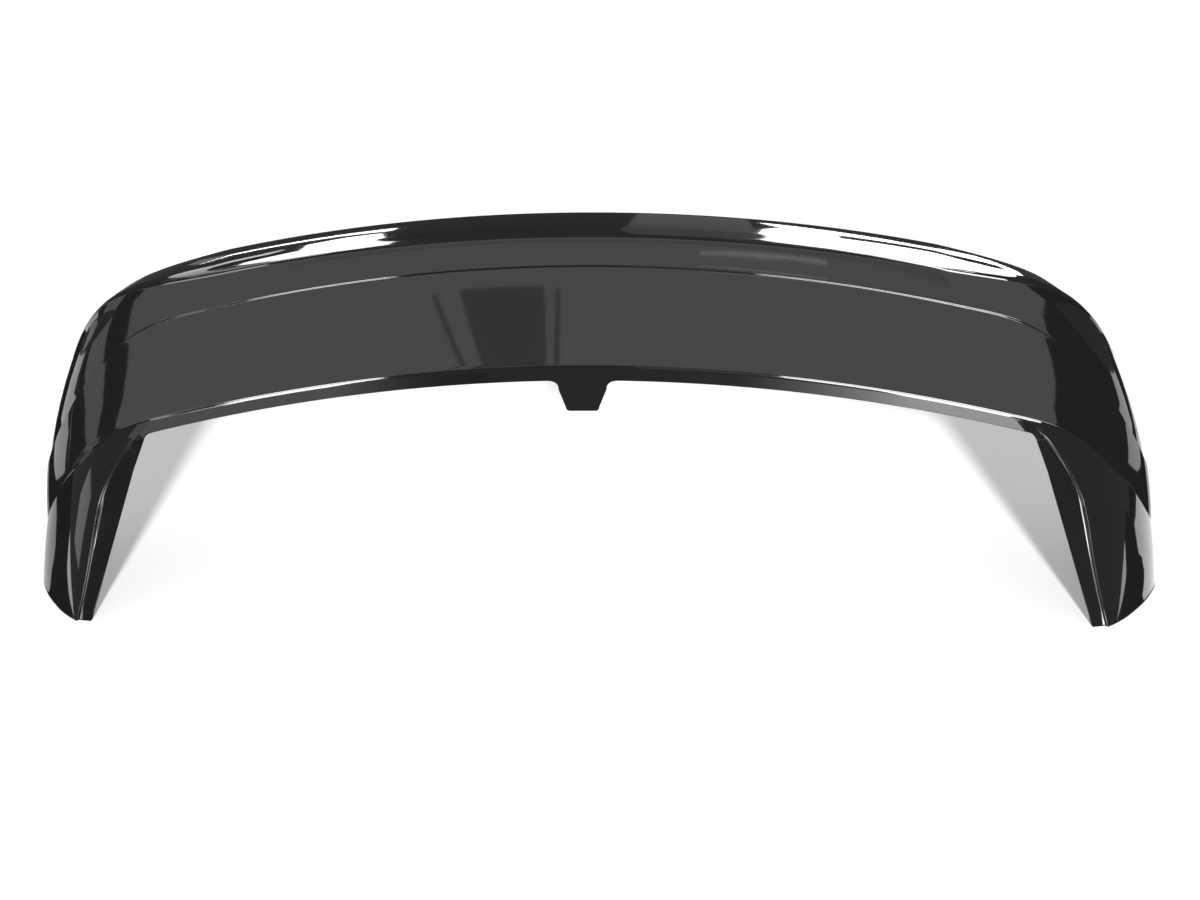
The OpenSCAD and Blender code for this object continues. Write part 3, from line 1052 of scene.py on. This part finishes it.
RIGHT_WINDOW = [(1, 0), (2.4, 0), (2.6, 0.9), (2.3, 2.4), (0.9, 2.4)]
LEFT_WINDOW = [(-1.5, 1.2), (-1.3, 1.2), (-1.2, 2.4), (-1.8, 2.4)]
LEFT_WALL = [(-3.2, 0.0), (-1.2, 0.0), (-1.45, 1.2), (-1.6, 2.4), (-3.2, 2.4)]
RIGHT_LEG_SHADE = [(1.1, 0.85), (1.1, 1.35), (1.55, 1.62), (1.9, 1.85), (2.15, 2.2), (2.9, 2.2)]
RIGHT_LEG_SHADE += [(2.9, 0.85)]
LEFT_LEG_SHADE = [(-1.1, 0.85), (-1.1, 1.35), (-2.3, 1.7), (-2.75, 1.9), (-2.9, 2.2), (-3.1, 2.2)]
LEFT_LEG_SHADE += [(-3.1, 0.85)]
RIGHT_STRIP = [(0.1, 1.27), (1.15, 1.27), (1.4, 1.5), (1.3, 1.65), (1.05, 1.42), (0.1, 1.42)]
LEG_TOP_SHADE = [(1.2, 1.62), (1.35, 1.5), (1.72, 1.88), (2.3, 2.39), (2.0, 2.39), (1.5, 2.03)]
LEFT_STRIP = [(-0.45, 1.2), (-1.6, 1.2), (-2.6, 2), (-2.5, 2.38), (-2.2, 2.38), (-1.4, 1.5)]
LEFT_STRIP += [(-0.45, 1.45)]
LEFT_BLOB = [(-0.25, 0.24), (0.12, 0.17), (0.25, 0.32), (0.12, 0.52), (-0.25, 0.58)]


# Cards on the floor by X and Y

BEHIND_FLOOR = [(-0.62, -0.06), (0.62, -0.06), (0.62, 1.5), (-0.62, 1.5)]
# Dim cards on the floor that only reflections see: a darker patch, with a thin dim line on each side of it
DIM_FLOOR_PATCH = [(-0.182, -0.435), (-0.082, -0.429), (-0.068, -0.28), (-0.139, -0.28)]
DIM_LINE_LEFT = [(-0.213, -0.433), (-0.207, -0.433), (-0.154, -0.271), (-0.160, -0.271)]
DIM_LINE_RIGHT = [(-0.069, -0.424), (-0.063, -0.424), (-0.054, -0.277), (-0.060, -0.277)]
FLOOR_STREAK = [(0.10, -0.527), (0.18, -0.545), (0.26, -0.572), (0.26, -0.582), (0.18, -0.557)]
FLOOR_STREAK += [(0.10, -0.534)]
FAR_FLOOR = [(-0.45, -0.63), (0, -0.59), (0.45, -0.63), (0.45, -0.88), (0, -0.85), (-0.45, -0.88)]
LEFT_EDGE = [(-0.69, -0.30), (-0.75, -0.42), (-0.86, -0.55), (-1.0, -0.68), (-1.68, -1.16)]
LEFT_EDGE += [(-6.0, -4.0), (-6.0, -2.8), (-1.2, -0.66), (-1.0, -0.53), (-0.86, -0.42), (-0.76, -0.30)]
LEFT_BOARD = [(-0.83, -0.17), (-1.0, -0.27), (-1.3, -0.36), (-6.0, -1.0), (-6.0, -1.4), (-1.38, -0.53)]
LEFT_BOARD += [(-1.2, -0.48), (-1.0, -0.40), (-0.80, -0.28)]
LEFT_FOOT_SHADE = [(-0.52, -0.1), (-0.56, -0.2), (-0.7, -0.24), (-0.8, -0.26), (-0.83, -0.17)]
LEFT_FOOT_SHADE += [(-1, -0.26), (-1.3, -0.35), (-6, -0.98), (-6, 3), (-0.6, 3), (-0.6, 0.1)]
RIGHT_BOARD = [(0.6, -0.3), (0.63, -0.38), (0.72, -0.5), (0.85, -0.68), (0.92, -0.78), (1.5, -1.35)]
RIGHT_BOARD += [(6, -5), (6, 3), (0.6, 3), (0.6, 0.1), (0.52, -0.1)]
RIGHT_GLOW = [(0.9, -0.21), (1.3, -0.3), (6, -0.55), (6, 1.2), (3, 0.5), (1.3, 0.08), (1.04, -0.04)]
RIGHT_GLOW += [(0.95, -0.12)]
RIGHT_FOOT_GLOW = [(0.56, -0.06), (0.62, -0.03), (0.7, 0.03), (0.8, 0.08), (0.88, 0.1), (1.45, 0.34)]
RIGHT_FOOT_GLOW += [(1.55, 0.6), (1.6, 2.5), (0.56, 2.5)]
LEFT_FOOT_GLOW = [(-0.56, -0.06), (-0.61, -0.03), (-0.68, 0.02), (-0.75, 0.06), (-0.82, 0.1)]
LEFT_FOOT_GLOW += [(-0.97, 0.22), (-1, 2.5), (-0.56, 2.5)]
LEFT_GLOW = [(-0.86, -0.16), (-1.1, -0.27), (-6, -0.7), (-6, 1.2), (-3, 0.5), (-1.3, 0.08)]
LEFT_GLOW += [(-1.05, -0.01), (-0.9, -0.07)]


# Cards with their corners and glow, and the level of each glow

CARDS = (
    ("right_lamps", level(RIGHT_LAMPS, CEILING_Z), "light_strip"),
    ("left_lamps", level(LEFT_LAMPS, CEILING_Z), "light_strip"),
    ("left_streak", level(LEFT_STREAK, CEILING_Z), "light_strip"),
    ("lamp_gap", level(LAMP_GAP, CEILING_Z - LAMP_DROP), "dark_card"),
    ("left_haze", level(LEFT_HAZE, CEILING_Z), "pale_wall"),
    ("left_back_haze", level(LEFT_BACK_HAZE, CEILING_Z), "dim_wall"),
    ("left_front_haze", level(LEFT_FRONT_HAZE, CEILING_Z), "dim_wall"),
    ("middle_dim", level(MIDDLE_DIM, CEILING_Z), "middle_dim"),
    ("right_window", upright(RIGHT_WINDOW, WALL_Y), "light_strip"),
    ("left_window", upright(LEFT_WINDOW, WALL_Y + LAMP_DROP), "light_strip"),
    ("left_wall", upright(LEFT_WALL, WALL_Y), "pale_wall"),
    ("right_leg_shade", upright(RIGHT_LEG_SHADE, LEG_SHADE_Y), "dark_card"),
    ("left_leg_shade", upright(LEFT_LEG_SHADE, LEG_SHADE_Y), "dark_card"),
    ("right_strip", upright(RIGHT_STRIP, STRIP_WALL_Y), "right_strip"),
    ("leg_top_shade", upright(LEG_TOP_SHADE, STRIP_WALL_Y + LAMP_DROP), "dark_card"),
    ("left_strip", upright(LEFT_STRIP, STRIP_WALL_Y), "left_strip"),
    ("behind_floor", level(BEHIND_FLOOR, CARD_LIFT), "dark_card"),
    ("dim_floor_patch", level(DIM_FLOOR_PATCH, CARD_LIFT), "dim_floor"),
    ("dim_line_left", level(DIM_LINE_LEFT, CARD_LIFT), "dim_floor"),
    ("dim_line_right", level(DIM_LINE_RIGHT, CARD_LIFT), "dim_floor"),
    ("floor_streak", level(FLOOR_STREAK, CARD_LIFT), "floor_streak"),
    ("far_floor", level(FAR_FLOOR, CARD_LIFT), "far_floor"),
    ("left_edge", level(LEFT_EDGE, CARD_LIFT), "dark_card"),
    ("left_board", level(LEFT_BOARD, CARD_LIFT), "dark_card"),
    ("left_foot_shade", level(LEFT_FOOT_SHADE, CARD_LIFT), "dark_card"),
    ("right_board", level(RIGHT_BOARD, CARD_LIFT), "dark_card"),
    ("right_glow", level(RIGHT_GLOW, UPPER_LIFT), "pale_floor"),
    ("left_glow", level(LEFT_GLOW, UPPER_LIFT), "pale_floor"),
    ("right_foot_glow", level(RIGHT_FOOT_GLOW, UPPER_LIFT), "bright_floor"),
    ("left_foot_glow", level(LEFT_FOOT_GLOW, UPPER_LIFT), "dim_wall"),
    ("left_blob", [(BLOB_X, y, z) for y, z in LEFT_BLOB], "left_blob"),
)

GLOW_LEVELS = {
    "pale_wall": 6.0,
    "dim_wall": 1.0,
    "dark_card": 0.03,
    # level of the dim patch and its two lines on the floor, darker than the mirrored floor
    "dim_floor": 0.42,
    "middle_dim": 0.7,
    "floor_streak": 2.6,
    "far_floor": 0.85,
    "pale_floor": 3.4,
    "bright_floor": 2.6,
    "left_blob": 1.5,
}

# Each fading glow: its level, and the X where it is darkest and where it is brightest

FADING_GLOWS = {"right_strip": (6.0, 0.1, 0.75), "left_strip": (1.2, -0.45, -0.9)}


class SPOILER_OT_stage(bpy.types.Operator):
    """Build the floor, lamps, light strips and camera"""

    bl_idname = "spoiler.stage"
    bl_label = "Build stage"

    def execute(self, context):
        studio = context.scene.spoiler_studio
        context.scene.view_settings.view_transform = "Standard"
        add_camera(context, studio, CAD_LOW.y + CAMERA_PLANE)
        add_floor(context, studio)
        glows = {"light_strip": emission_material("light_strip", studio.strip_radiance)}
        for name, strength in GLOW_LEVELS.items():
            glows[name] = emission_material(name, strength)
        for name, (strength, dark_x, bright_x) in FADING_GLOWS.items():
            glows[name] = graded_material(name, strength, dark_x, bright_x)
        for name, corners, glow in CARDS:
            card(context, name, corners, glows[glow])
        add_sun(context, studio)
        studio_world(context)
        return {"FINISHED"}


class SPOILER_PT_panel(bpy.types.Panel):
    """Sizes, finish and studio of the spoiler"""

    bl_label = "Rear spoiler"
    bl_idname = "SPOILER_PT_panel"
    bl_space_type = "VIEW_3D"
    bl_region_type = "UI"
    bl_category = "Spoiler"

    def draw(self, context):
        layout = self.layout
        for group in ("spoiler_shape", "spoiler_finish", "spoiler_studio"):
            settings = getattr(context.scene, group)
            box = layout.box()
            for name in settings.__annotations__:
                box.prop(settings, name)
        for operator in (SPOILER_OT_shell, SPOILER_OT_stage):
            layout.operator(operator.bl_idname)


CLASSES = (SpoilerShape, SpoilerFinish, SpoilerStudio, SPOILER_OT_shell, SPOILER_OT_stage, SPOILER_PT_panel)


def register():
    for cls in CLASSES:
        bpy.utils.register_class(cls)
    bpy.types.Scene.spoiler_shape = bpy.props.PointerProperty(type=SpoilerShape)
    bpy.types.Scene.spoiler_finish = bpy.props.PointerProperty(type=SpoilerFinish)
    bpy.types.Scene.spoiler_studio = bpy.props.PointerProperty(type=SpoilerStudio)


def unregister():
    del bpy.types.Scene.spoiler_studio
    del bpy.types.Scene.spoiler_finish
    del bpy.types.Scene.spoiler_shape
    for cls in reversed(CLASSES):
        bpy.utils.unregister_class(cls)


def main():
    register()
    bpy.ops.spoiler.shell()
    bpy.ops.spoiler.stage()


if __name__ == "__main__":
    main()
